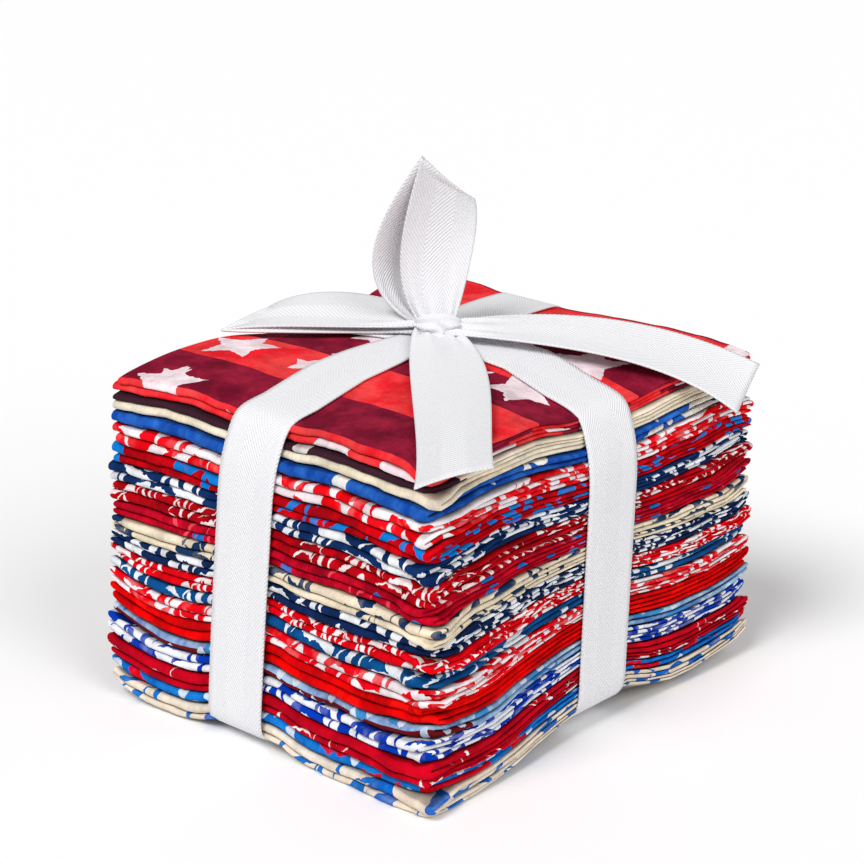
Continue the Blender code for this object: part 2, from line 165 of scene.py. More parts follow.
# By the number of runs: heights of the plies inside one run, from -1 under to 1 on top, the last ones tucked
# into the first fold; how far the plies' ends stand back from the sides, the free edges first and last; and
# the same for the runs' ends at the front and back.
PLIES = {4: (-1.0, 1.0, 0.0), 2: (-1.0, 1.0, 0.5, 0.0, -0.5)}
PLY_INSETS = {4: (0.8, 0.0, 0.3, 3.5), 2: (0.8, 0.0, 0.2, 2.5, 0.6, 3.5)}
RUN_INSETS = {4: (1.6, 0.2, 0.4, 0.3, 2.4), 2: (1.6, 0.2, 2.2)}
# The plies fill this much of a run's height.
FILL = 0.8
# Points along each ply and along each run: the top cloth, which shows most, the others, and in the turns.
TOP_POINTS = (66, 60)
CLOTH_POINTS = (44, 18)
TURN_POINTS = (5, 6)
# Painted shade in the creases: it begins and is full at these distances inwards from the folds, and takes
# away this share of the colour. On the top cloth it ends between these shares of its height.
PAINTED_SHADE_DEPTHS = (0.3, 1.7)
PAINTED_CREASE_SHADE = 0.68
TOP_PAINTED_SHADE_END = (0.6, 0.85)

# The prints. A cloth has two ground colours that run into each other over the given distance; then figures
# are printed one over another. Lengths are in millimetres; what a figure's columns mean stands at the figure.
PRINTS = {
    # name: (ground, mottle, distance, [(figure, turn, spacing, length, width, share, colour), ...])
    "fabric_01_star_stripe": ("981B37", "740E2A", 14, [
        ("band", 0, 50, 26, 39.1, 1, "EC1F2A"),
        ("star", 14, 40, 13.0, 0, 0.8, "F1DFE4"),
        ("star", 50, 44, 7.5, 0, 0.6, "F1DFE4")]),
    "fabric_02_plum_dot": ("EFE4CF", "E6D8BE", 40, [
        ("strip", 0, 462, 13, 0, 1, "3B1F2C"),
        ("dot", 20, 34, 3.4, 0, 0.3, "D9D2CE")]),
    "fabric_03_royal": ("1147A4", "2C69C4", 9, [
        ("blot", 20, 17, 0, 0, 0.42, "F1ECE2")]),
    "fabric_04_scarlet_leaf": ("F3E6EA", "F7F0F2", 10, [
        ("spray", 25, 11.0, 14.0, 4.4, 0.95, "F40819"),
        ("leaf", 60, 24, 10.0, 4.2, 0.8, "DC000D")]),
    "fabric_05_red_blue_patch": ("D8000F", "9C000F", 9, [
        ("spray", 70, 8.5, 9.0, 2.8, 0.45, "087ED8"),
        ("leaf", 30, 19, 6.5, 2.8, 0.6, "087ED8")]),
    "fabric_06_navy_leaf": ("11346B", "0A2655", 8, [
        ("spray", 40, 8.0, 12.0, 2.9, 0.8, "EEF1F5"),
        ("leaf", 80, 18, 7.0, 2.8, 0.6, "EEF1F5")]),
    "fabric_07_deep_red_comb": ("C50012", "92000F", 8, [
        ("spray", 55, 5.0, 7.0, 1.1, 0.6, "F6E6E6"),
        ("dot", 10, 13, 1.3, 0, 0.5, "F6E6E6")]),
    "fabric_08_crimson_dot": ("D10729", "9D001C", 7, [
        ("dot", 35, 11, 2.4, 0, 0.45, "0973CB"),
        ("spray", 75, 8.0, 8.0, 1.2, 0.3, "F44C5C")]),
    "fabric_09_cream_navy": ("EFE2CB", "E7D8BC", 25, [
        ("spray", 65, 7.5, 9.0, 1.7, 0.45, "17365F"),
        ("leaf", 20, 22, 6.5, 3.0, 0.6, "17365F")]),
    "fabric_10_navy_petal": ("0E2A5E", "0E2247", 8, [
        ("spray", 30, 7.0, 8.0, 2.5, 0.7, "F0F2F6"),
        ("leaf", 50, 14, 4.4, 1.9, 0.6, "F0F2F6")]),
    "fabric_11_red_dash": ("F20014", "C60010", 8, [
        ("spray", 50, 4.4, 5.0, 1.15, 0.65, "FBF2F2"),
        ("leaf", 15, 18, 7.0, 1.8, 0.5, "FBF2F2")]),
    "fabric_12_teal": ("0D5696", "04447E", 8, [
        ("spray", 35, 6.0, 8.0, 1.6, 0.55, "E9F0F6"),
        ("leaf", 65, 17, 7.0, 1.8, 0.6, "E9F0F6")]),
    "fabric_13_white_red_vine": ("F6EDF0", "F2E6EA", 10, [
        ("spray", 45, 8.0, 10.0, 3.0, 0.9, "EE0118"),
        ("leaf", 10, 14, 6.0, 2.2, 0.6, "EE0118")]),
    "fabric_14_bright_red": ("F60001", "BF0006", 12, [
        ("blot", 30, 16, 0, 0, 0.36, "FF0D08")]),
    "fabric_15_periwinkle": ("607EBA", "9CC0DC", 10, [
        ("strip", 0, 145, 9, 0, 1, "6E1019"),
        ("blot", 60, 12, 0, 0, 0.4, "3B89C8"),
        ("dot", 25, 6.5, 1.5, 0, 0.6, "CBDAEA")]),
    "fabric_16_white_royal_vine": ("F1F3F8", "E9EDF6", 10, [
        ("spray", 60, 8.5, 10.0, 2.8, 0.9, "0138B0"),
        ("leaf", 25, 15, 6.5, 2.2, 0.6, "0138B0")]),
    "fabric_17_crimson_star": ("D3001F", "A70019", 12, [
        ("star", 33, 30, 4.6, 0, 0.6, "F8ECEC"),
        ("spray", 55, 8.0, 9.0, 0.6, 0.3, "F8ECEC")]),
    "fabric_18_blue_red": ("0862C0", "1A80DA", 8, [
        ("dot", 40, 8, 1.8, 0, 0.5, "CFE2F2"),
        ("blot", 70, 15, 0, 0, 0.4, "D8031A")]),
    "fabric_19_cream_blue": ("EDE1D1", "E6D8C4", 25, [
        ("leaf", 20, 18, 6.5, 3.6, 0.65, "0862C0"),
        ("spray", 60, 9.0, 8.0, 1.9, 0.3, "1A6FC6")]),
}
# Cut edges of the figures wander by the first over the second; stems and blots sweep about more widely.
# Smooth noise mostly keeps within the swing of its middle value.
CUT_EDGE = (0.45, 2.6)
SWEEP = (5.0, 38.0)
NOISE_SWING = 0.25
# Each layer of figures is turned about a point of its own, as many times this as its number says along X, so
# that the figures of one cloth don't fall on each other.
TURN_ABOUT = (211.0, 97.0)
# Sprays, as shares of a leaf's length: how far apart stems lie, how far a leaf bends forward, how far from
# the stem's middle it starts. Half a stem's width is a share of a leaf's half width. Each stem's leaves are
# shifted by up to so many leaves. Sprays stand where smooth noise is over the first of the last two numbers,
# less the share times the second.
STEMS_APART = 2.3
LEAF_BEND = 0.9
LEAF_START = 0.05
STEM_WIDTH = 0.22
STEM_SHIFT = 7.0
SPRAY_COVER = (0.68, 0.4)
# Each cloth starts this much further along the printed pattern than the one over it.
PATTERN_SHIFT = 137.0
# Bands are brushed on: where the ink is thin they turn towards this colour, by up to this share.
THIN_BAND = ("FF9A90", 0.14)
# Smooth noises over the cloth, with one over the size of their patches in millimetres, and how they are read:
# the values at which they start and end, and what these become. Ink is how thickly figures are printed, wash
# is how light the cloth is. Cotton of 30 threads to the centimetre would be too fine to see, so the grain is
# drawn somewhat coarser.
MOTTLE_NOISE = {"Detail": 4.0, "Roughness": 0.65}
MOTTLE_EDGE = (0.38, 0.62, 0.0, 1.0)
INK_NOISE = {"Scale": 1 / 6.25, "Detail": 3.0}
INK = (0.5, 0.72, 1.0, 0.82)
WASH_NOISE = {"Scale": 9 / 100, "Detail": 5.0, "Roughness": 0.7}
WASH = (0.3, 0.7, 0.72, 1.12)
GRAIN_NOISE = {"Scale": 1 / 0.42, "Detail": 1.0}
GRAIN = (0.3, 0.7, 0.94, 1.04)
PUCKER_NOISE = {"Scale": 1 / 7.0, "Detail": 2.0}
# Reliefs: their strength and their depth in metres
PUCKER_RELIEF = (0.6, 0.0012)
GRAIN_RELIEF = (0.3, 0.00015)
RIB_RELIEF = (0.8, 0.0001)

# The tape's weave: ribs this far apart, leaning this much from its length, turning back in each column. Its
# yarns add their share to the ribs' height.
RIB_PITCH = 0.9
RIB_LEAN = 38.0
RIB_COLUMNS = 3
# Painted shade: between these heights of the ribs the colour goes from this share in the hollows to full on
# the crests.
RIB_PAINTED_SHADE = (-1.0, 1.6, 0.86, 1.0)
YARN_NOISE = {"Scale": 2.6, "Detail": 1.0}
YARN_SHARE = 1.1
TAPE_MATERIAL = "cotton twill tape, woven in herringbone"
# Cloth is dull and hardly shines, the tape a little less dull than the cottons.
COTTON_ROUGHNESS = 0.9
TAPE_ROUGHNESS = 0.8
CLOTH_SHINE = 0.06

# The bow's strips, each spanned between two edge curves of cubic stretches.
BOW_STRIPS = {
    "upright_loop": (
        ((1, -1, 117.5), (-13, -5, 130), (-5, -5, 150), (4, -5.4, 175),
         (-6, -8, 160), (-30, -11, 130), (-5, 0, 117.5)),
        ((8, 4, 117.5), (9, 9, 128), (10, 17, 150), (8, 15, 158),
         (-4, 19, 158), (-18, 14, 132), (-3, 5, 118)),
    ),
    "left_loop": (
        ((0, -2, 118.8), (-20, -10, 113.8), (-45, -27, 116), (-54, -38, 113.8),
         (-57, -41.7, 113.1), (-24, -8, 112), (0, -1, 115.5)),
        ((-2, 6, 119.5), (-20, 12, 120), (-46, 1, 124), (-53.5, -15, 117.3),
         (-56, -20, 115.4), (-24, 12, 113.5), (-2, 6, 116)),
    ),
    "right_tail": (
        ((5, 7, 119), (32, 42, 122), (60, 56, 117), (83, 68.5, 106)),
        ((9, -1, 117.5), (40, 16, 116), (71.9, 30.9, 116.5), (92.9, 42.9, 98.5)),
    ),
    "front_tail": (
        ((-3, -1, 116.5), (8, -21, 115), (61.1, -67.5, 112), (83.6, -97, 110.5)),
        ((9, 5, 117), (38, -5, 115), (67.9, -48.1, 115), (92.4, -73.6, 112.5)),
    ),
}
# Strips are cupped along their middle and gathered at the knot: waves across that die away over the reach,
# made uneven by a shift of up to so many radians.
STRIP_CUP = 0.8
GATHER = 0.85
GATHER_WAVES = 3.5
GATHER_REACH = 13.0
GATHER_SHIFT = 1.5
# The cup is full from the second of these distances from the knot.
CUP_BLEND = (4, 30)
# Points along each cubic stretch, and across a strip and a turn of the tape
STRETCH_POINTS = 44
STRIP_ACROSS = 33
TURN_ACROSS = 13
# The tape's turns don't run quite straight: they lean aside by so much at these angles round the stack's
# middle, from the far or right side over the top, the near or left side and the underside.
WINDINGS = (
    # name, axis across, axis along, ((angle, lean), ...)
    ("winding_front_to_back", 0, 1, (
        (36, -9.0), (90, 0.0), (125, 0.3), (140, 4.0), (152, 2.6), (214, -3.5), (240, 0.0), (323, 0.0))),
    ("winding_side_to_side", 1, 0, (
        (33, 3.7), (43, 4.4), (58, 8.5), (72, 6.5), (90, 3.0), (142, 0.0), (219, -1.0), (324, -1.0))),
)
MIDDLE_HEIGHT = 55.0
# A turn is drawn round the points of cloth in its lane, up to this far beside it. It lies this far off them,
# in steps of this length, its bends rounded over this distance.
LANE_MARGIN = 1.0
TAPE_GAP = 0.5
TAPE_STEP = 1.2
TAPE_SOFTNESS = 3.2
# Near the knot the turns are drawn together: narrower by this share, fading over this distance.
KNOT_NARROWING = 0.3
NARROWING_REACH = 20.0

KNOT_CENTRE = (3.0, 3.0, 118.2)
KNOT_SIZE = (8.6, 6.6, 4.4)
# The knot's gathers run along the first of these directions, from the left loop to the right tail, and its
# dimple faces the second.
KNOT_LINE = (0.8, 0.6, 0.0)
KNOT_DIMPLE = (0.62, -0.74, 0.25)
# How many gathers the knot has, their depth and their twist; the dimple's depth and its reach. Depths are
# shares of the knot's size, twist and reach are in radians.
KNOT_GATHERS = (7, 0.11, 2)
KNOT_DENT = (0.4, 0.3)
KNOT_POINTS = (97, 61)

# Camera, solved from the photograph's corners of the stack
CAMERA_TURN = 41.872
CAMERA_RISE = 19.653
CAMERA_TARGET = (-49.088, 58.443, 54.264)
CAMERA_DISTANCE = 926.892
CAMERA_LENS = 108.33
SENSOR_WIDTH = 36.0
FLOOR_REACH = 4.0
FLOOR_ROUGHNESS = 0.9
FLOOR_SHINE = 0.1
# Suns: the direction they shine from, and how far their light spreads, in degrees
KEY_SUN = ((0.1, -0.9, 1.1), 26)
FILL_SUN = ((0.95, -0.15, 0.75), 34)


def srgb(code):
    """Linear colour from an sRGB hex code."""
    values = np.array([int(code[i : i + 2], 16) for i in (0, 2, 4)]) / 255
    linear = np.where(values <= 0.04045, values / 12.92, ((values + 0.055) / 1.055) ** 2.4)
    return (*linear.tolist(), 1.0)


# Sizes, colours and light


class BundleSizes(bpy.types.PropertyGroup):
    stack_length: bpy.props.FloatProperty(
        name="Stack length", description="Length of the folded cloths along X",
        default=0.135, unit="LENGTH")
    stack_depth: bpy.props.FloatProperty(
        name="Stack depth", description="Depth of the folded cloths along Y, across their folds",
        default=0.155, unit="LENGTH")
    corner_height: bpy.props.FloatProperty(
        name="Corner height", description="Height of the stack's top at its corners",
        default=0.107, unit="LENGTH")
    crown: bpy.props.FloatProperty(
        name="Crown", description="How far the middle of the top stands over its corners",
        default=0.006, unit="LENGTH")
    tape_width: bpy.props.FloatProperty(
        name="Tape width", description="Width of the twill tape",
        default=0.023, unit="LENGTH")
    tape_thickness: bpy.props.FloatProperty(
        name="Tape thickness", description="Thickness of the twill tape",
        default=0.0006, unit="LENGTH")


class BundleStudio(bpy.types.PropertyGroup):
    tape: bpy.props.FloatVectorProperty(
        name="Tape", description="Colour of the cotton tape", subtype="COLOR", size=4,
        min=0, max=1, default=srgb("EFEFF2"))
    floor: bpy.props.FloatVectorProperty(
        name="Floor", description="Colour of the floor", subtype="COLOR", size=4,
        min=0, max=1, default=srgb("F8F8F8"))
    room: bpy.props.FloatProperty(
        name="Room light", description="Strength of the even light from all round", default=0.36, min=0)
    key: bpy.props.FloatProperty(
        name="Key light", description="Strength of the soft light from the front", default=2.05, min=0)
    fill: bpy.props.FloatProperty(
        name="Fill light", description="Strength of the soft light from the right", default=1.06, min=0)


# Materials

VECTOR = "ShaderNodeVectorMath"
NOISE = "ShaderNodeTexNoise"
RANGE = "ShaderNodeMapRange"
MIX = "ShaderNodeMix"
BUMP = "ShaderNodeBump"


def add(tree, kind, *values, out=0, named=None, **settings):
    """Adds one node and returns an output, or all of them where out is None.

    Values go into the inputs in order, named ones by name or number, as links or as constants. A kind that
    is a bare operation, such as MULTIPLY, is a math node.
    """
    if not kind.startswith("ShaderNode"):
        settings["operation"] = kind
        kind = "ShaderNodeMath"
    new = tree.nodes.new(kind)
    for name, value in settings.items():
        setattr(new, name, value)
    for place, value in [*enumerate(values), *(named or {}).items()]:
        if isinstance(value, bpy.types.NodeSocket):
            tree.links.new(value, new.inputs[place])
        else:
            new.inputs[place].default_value = value
    return new.outputs if out is None else new.outputs[out]


def moved_about(tree, place, amount, distance):
    """The place, shifted each way by smooth noise of the given amount that changes over the distance."""
    shift = add(tree, NOISE, named={"Vector": place, "Scale": 1 / distance, "Detail": 2.0},
                out=1, noise_dimensions="2D")
    shift = add(tree, VECTOR, shift, (0.5, 0.5, 0.5), operation="SUBTRACT")
    shift = add(tree, VECTOR, shift, named={"Scale": amount / NOISE_SWING}, operation="SCALE")
    return add(tree, VECTOR, place, shift, operation="ADD")


def band(tree, place, spacing, length, width, share):
    """Stripes across the cloth's length: as wide as the length, one in each spacing, from the width on."""
    _, y, _ = add(tree, "ShaderNodeSeparateXYZ", place, out=None)
    turns = add(tree, "FRACT", add(tree, "DIVIDE", add(tree, "SUBTRACT", y, width), spacing))
    return add(tree, "LESS_THAN", turns, length / spacing)


def strip(tree, place, spacing, length, width, share):
    """One stripe across the cloth's length: its middle lies at the spacing, its half width is the length."""
    _, y, _ = add(tree, "ShaderNodeSeparateXYZ", place, out=None)
    return add(tree, "LESS_THAN", add(tree, "ABSOLUTE", add(tree, "SUBTRACT", y, spacing)), length)


def blot(tree, place, spacing, length, width, share):
    """Patches where smooth noise is high; the share raises how much of the cloth they cover."""
    patches = add(tree, NOISE, named={"Vector": place, "Scale": 1 / spacing, "Detail": 1.5},
                  noise_dimensions="2D")
    return add(tree, "GREATER_THAN", patches, 1 - share)


def spray(tree, place, spacing, length, width, share):
    """Stems with a row of bent leaves on both sides, as on ferns.

    Stems lie a little more than two leaf lengths apart and are shifted by a random distance. Leaves follow
    one another at the spacing; each one's half width falls as a parabola from its middle to its two ends.
    The share says how much of the cloth the sprays cover.
    """
    x, y, _ = add(tree, "ShaderNodeSeparateXYZ", place, out=None)
    apart = STEMS_APART * length
    lines = add(tree, "DIVIDE", y, apart)
    shift = add(tree, "ShaderNodeTexWhiteNoise", named={"W": add(tree, "FLOOR", lines)},
                noise_dimensions="1D")
    side = add(tree, "SUBTRACT", add(tree, "FRACT", lines), 0.5)
    side = add(tree, "ABSOLUTE", add(tree, "MULTIPLY", side, apart))
    bent = add(tree, "MULTIPLY", add(tree, "MULTIPLY", side, side), LEAF_BEND / length)
    along = add(tree, "DIVIDE", add(tree, "SUBTRACT", x, bent), spacing)
    along = add(tree, "MULTIPLY_ADD", shift, STEM_SHIFT, along)
    beside = add(tree, "SUBTRACT", add(tree, "FRACT", along), 0.5)
    beside = add(tree, "ABSOLUTE", add(tree, "MULTIPLY", beside, spacing))
    out = add(tree, "MULTIPLY_ADD", side, 2 / length, -1 - 2 * LEAF_START)
    half = add(tree, "MULTIPLY_ADD", add(tree, "MULTIPLY", out, out), -width, width)
    leaf = add(tree, "LESS_THAN", beside, half)
    stem = add(tree, "LESS_THAN", side, STEM_WIDTH * width)
    there = add(tree, NOISE, named={"Vector": place, "Scale": 0.25 / length, "Detail": 1.0},
                noise_dimensions="2D")
    there = add(tree, "GREATER_THAN", there, SPRAY_COVER[0] - SPRAY_COVER[1] * share)
    return add(tree, "MULTIPLY", add(tree, "MAXIMUM", leaf, stem), there)


def dot(tree, x, y, length, width):
    """Closer to the middle than the length."""
    far = add(tree, VECTOR, add(tree, "ShaderNodeCombineXYZ", x, y), out=1, operation="LENGTH")
    return add(tree, "LESS_THAN", far, length)


def leaf(tree, x, y, length, width):
    """A pointed and slightly bent oval: its half width falls as a parabola along the length."""
    along = add(tree, "DIVIDE", x, length)
    along = add(tree, "MULTIPLY", along, along)
    half = add(tree, "MULTIPLY_ADD", along, -width, width)
    side = add(tree, "ABSOLUTE", add(tree, "MULTIPLY_ADD", along, 0.7 * width, y))
    return add(tree, "LESS_THAN", side, half)


def star(tree, x, y, length, width):
    """Five points with straight sides: within a fifth of a turn a side is a line at its own distance."""
    fifth = 2 * math.pi / 5
    inner = 0.5 * length
    lean = math.atan2(length - inner * math.cos(fifth / 2), inner * math.sin(fifth / 2))
    far = add(tree, VECTOR, add(tree, "ShaderNodeCombineXYZ", x, y), out=1, operation="LENGTH")
    turn = add(tree, "FRACT", add(tree, "DIVIDE", add(tree, "ARCTAN2", y, x), fifth))
    turn = add(tree, "ABSOLUTE", add(tree, "SUBTRACT", turn, 0.5))
    from_tip = add(tree, "MULTIPLY_ADD", turn, -fifth, fifth / 2 - lean)
    reach = add(tree, "MULTIPLY", far, add(tree, "COSINE", from_tip))
    return add(tree, "LESS_THAN", reach, length * math.cos(lean))


WHOLE_CLOTH = {"band": band, "strip": strip}
SWEPT = {"blot": blot, "spray": spray}
SCATTERED = {"dot": dot, "leaf": leaf, "star": star}


def scattered(tree, place, figure, spacing, length, width, share):
    """A figure at scattered spots about the spacing apart, each turned its own way; the share has one."""
    grid = add(tree, VECTOR, place, named={"Scale": 1 / spacing}, operation="SCALE")
    cells = add(tree, "ShaderNodeTexVoronoi", named={"Vector": grid, "Scale": 1.0, "Randomness": 0.6},
                out=None, voronoi_dimensions="2D")
    local = add(tree, VECTOR, grid, cells["Position"], operation="SUBTRACT")
    local = add(tree, VECTOR, local, named={"Scale": spacing}, operation="SCALE")
    chance, present, _ = add(tree, "ShaderNodeSeparateColor", cells["Color"], out=None)
    turn = add(tree, "MULTIPLY", chance, 2 * math.pi)
    local = add(tree, "ShaderNodeVectorRotate", named={"Vector": local, "Angle": turn},
                rotation_type="Z_AXIS")
    x, y, _ = add(tree, "ShaderNodeSeparateXYZ", local, out=None)
    there = add(tree, "LESS_THAN", present, share)
    return add(tree, "MULTIPLY", SCATTERED[figure](tree, x, y, length, width), there)


def cloth_shader(name, roughness):
    """A cloth material without its colour; fibres scatter light, so it is dull and hardly shines."""
    mat = bpy.data.materials.new(name)
    mat.use_nodes = True
    tree = mat.node_tree
    shader = tree.nodes["Principled BSDF"]
    shader.inputs["Roughness"].default_value = roughness
    shader.inputs["Specular IOR Level"].default_value = CLOTH_SHINE
    return mat, tree, shader


def shaded(tree, base, shade):
    """A colour made darker or lighter: all its parts times the shade."""
    grey = add(tree, "ShaderNodeCombineColor", shade, shade, shade)
    return add(tree, MIX, named={0: 1.0, 6: base, 7: grey}, out=2, data_type="RGBA", blend_type="MULTIPLY")


def printed_cotton(node, shift):
    """Quilting cotton, plain woven, dyed and screen printed: dull, colours run like watercolour.

    The ground shifts between two colours, and the ink of the figures is thin in places, so that some ground
    shows through. Fine grain comes from the weave, soft dents from the way that thin cotton puckers. Deep in
    its creases the colour is darkened by painted shade.
    """
    ground, mottle, distance, figures = PRINTS[node]
    name = "quilting cotton, printed, " + node[10:].replace("_", " ")
    mat, tree, shader = cloth_shader(name, COTTON_ROUGHNESS)
    flat = add(tree, "ShaderNodeUVMap", uv_map="flat_cloth")
    place = add(tree, VECTOR, flat, (shift, 0, 0), operation="ADD")
    patches = add(tree, NOISE, named={"Vector": place, "Scale": 1 / distance, **MOTTLE_NOISE},
                  noise_dimensions="2D")
    patches = add(tree, RANGE, patches, *MOTTLE_EDGE)
    cloth = add(tree, MIX, named={0: patches, 6: srgb(ground), 7: srgb(mottle)}, out=2, data_type="RGBA")
    ink = add(tree, NOISE, named={"Vector": place, **INK_NOISE}, noise_dimensions="2D")
    ink = add(tree, RANGE, ink, *INK)
    cut = moved_about(tree, place, *CUT_EDGE)
    swept = moved_about(tree, cut, *SWEEP)
    for number, (figure, turn, spacing, length, width, share, code) in enumerate(figures, 1):
        if figure in WHOLE_CLOTH:
            mask = WHOLE_CLOTH[figure](tree, place, spacing, length, width, share)
        else:
            turned = add(tree, "ShaderNodeVectorRotate", named={
                "Vector": swept if figure in SWEPT else cut,
                "Center": (TURN_ABOUT[0] * number, TURN_ABOUT[1], 0),
                "Angle": math.radians(turn)}, rotation_type="Z_AXIS")
            if figure in SWEPT:
                mask = SWEPT[figure](tree, turned, spacing, length, width, share)
            else:
                mask = scattered(tree, turned, figure, spacing, length, width, share)
        dye = srgb(code)
        if figure == "band":
            thin = add(tree, "MULTIPLY", patches, THIN_BAND[1])
            dye = add(tree, MIX, named={0: thin, 6: dye, 7: srgb(THIN_BAND[0])}, out=2, data_type="RGBA")
        if figure not in WHOLE_CLOTH:
            mask = add(tree, "MULTIPLY", mask, ink)
        cloth = add(tree, MIX, named={0: mask, 6: cloth, 7: dye}, out=2, data_type="RGBA")
    grain = add(tree, NOISE, named={"Vector": flat, **GRAIN_NOISE}, noise_dimensions="2D")
    wash = add(tree, NOISE, named={"Vector": place, **WASH_NOISE}, noise_dimensions="2D")
    shade = add(tree, RANGE, wash, *WASH)
    shade = add(tree, "MULTIPLY", shade, add(tree, RANGE, grain, *GRAIN))
    # Painted shade: the colour is darkened deep in the creases, by the attribute that the sheet carries.
    painted_crease_shade = add(tree, "ShaderNodeAttribute", out=2, attribute_name="painted_crease_shade")
    shade = add(tree, "MULTIPLY", shade, add(tree, "MULTIPLY_ADD", painted_crease_shade, -PAINTED_CREASE_SHADE, 1.0))
    tree.links.new(shaded(tree, cloth, shade), shader.inputs["Base Color"])
    dents = add(tree, NOISE, named={"Vector": place, **PUCKER_NOISE}, noise_dimensions="2D")
    dented = add(tree, BUMP, *PUCKER_RELIEF, named={"Height": dents})
    woven = add(tree, BUMP, *GRAIN_RELIEF, named={"Height": grain, "Normal": dented})
    tree.links.new(woven, shader.inputs["Normal"])
    return mat


def tape_material(white, width):
    """Cotton twill tape, woven in herringbone and bleached: matt white, with ribs that catch the light.

    The ribs run slantwise and turn back at each column's edge, as a folded coordinate across makes them.
    Their hollows are darker by painted shade.
    """
    mat, tree, shader = cloth_shader(TAPE_MATERIAL, TAPE_ROUGHNESS)
    flat = add(tree, "ShaderNodeUVMap", uv_map="flat_cloth")
    along, across, _ = add(tree, "ShaderNodeSeparateXYZ", flat, out=None)
    folded = add(tree, "PINGPONG", across, width / RIB_COLUMNS)
    lean = math.radians(RIB_LEAN)
    phase = add(tree, "MULTIPLY", along, 2 * math.pi * math.sin(lean) / RIB_PITCH)
    phase = add(tree, "MULTIPLY_ADD", folded, 2 * math.pi * math.cos(lean) / RIB_PITCH, phase)
    ribs = add(tree, "SINE", phase)
    yarns = add(tree, NOISE, named={"Vector": flat, **YARN_NOISE}, noise_dimensions="2D")
    height = add(tree, "MULTIPLY_ADD", yarns, YARN_SHARE, ribs)
    # Painted shade: darker where ribs and yarns lie low.
    shade = add(tree, RANGE, height, *RIB_PAINTED_SHADE)
    tree.links.new(shaded(tree, white, shade), shader.inputs["Base Color"])
    woven = add(tree, BUMP, *RIB_RELIEF, named={"Height": height})
    tree.links.new(woven, shader.inputs["Normal"])
    return mat


# Shapes


def make_piece(name, points, uv, closed_along, mat, painted_crease_shade=None):
    """A sheet from a grid of points, with its own UV map in millimetres of flat cloth.

    A cloth's sheet also gets an attribute of painted shade: how deep in a crease each of its points lies.
    """
    rows, columns = points.shape[:2]
    number = np.arange(rows * columns).reshape(rows, columns)
    if closed_along:
        ahead, here = np.roll(number, -1, axis=0), number
        uv_ahead, uv_here = np.concatenate([uv[1:], uv[-1:] + (uv[1:2] - uv[:1])]), uv
    else:
        ahead, here = number[1:], number[:-1]
        uv_ahead, uv_here = uv[1:], uv[:-1]
    quads = np.stack([here[:, :-1], ahead[:, :-1], ahead[:, 1:], here[:, 1:]], axis=-1).reshape(-1, 4)
    corners = np.stack([uv_here[:, :-1], uv_ahead[:, :-1], uv_ahead[:, 1:], uv_here[:, 1:]], axis=2)
    mesh = bpy.data.meshes.new(name)
    mesh.from_pydata(points.reshape(-1, 3) * MM, [], quads)
    layer = mesh.uv_layers.new(name="flat_cloth")
    layer.data.foreach_set("uv", corners.reshape(-1))
    mesh.polygons.foreach_set("use_smooth", np.ones(len(quads), bool))
    # Painted shade in the creases, which the cloth's material reads
    if painted_crease_shade is not None:
        mesh.attributes.new("painted_crease_shade", "FLOAT", "POINT").data.foreach_set("value", painted_crease_shade.reshape(-1))
    mesh.materials.append(mat)
    mesh.update()
    piece = bpy.data.objects.new(name, mesh)
    bpy.context.scene.collection.objects.link(piece)
    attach(piece, "root")
    return piece


def wander(seed, along, length, amount):
    """A line that wanders by about the amount: three sine waves of unequal lengths and seeded phases."""
    phases = np.random.default_rng(seed).uniform(0, 2 * math.pi, len(WAVES))
    waves = [part * np.sin(2 * math.pi * along / (length * ratio) + phase)
             for (ratio, part), phase in zip(WAVES, phases)]
    return amount * sum(waves)


def smooth_step(low, high, value):
    """0 below low, 1 above high, and a soft S between them."""
    t = np.clip((value - low) / (high - low), 0, 1)
    return t * t * (3 - 2 * t)


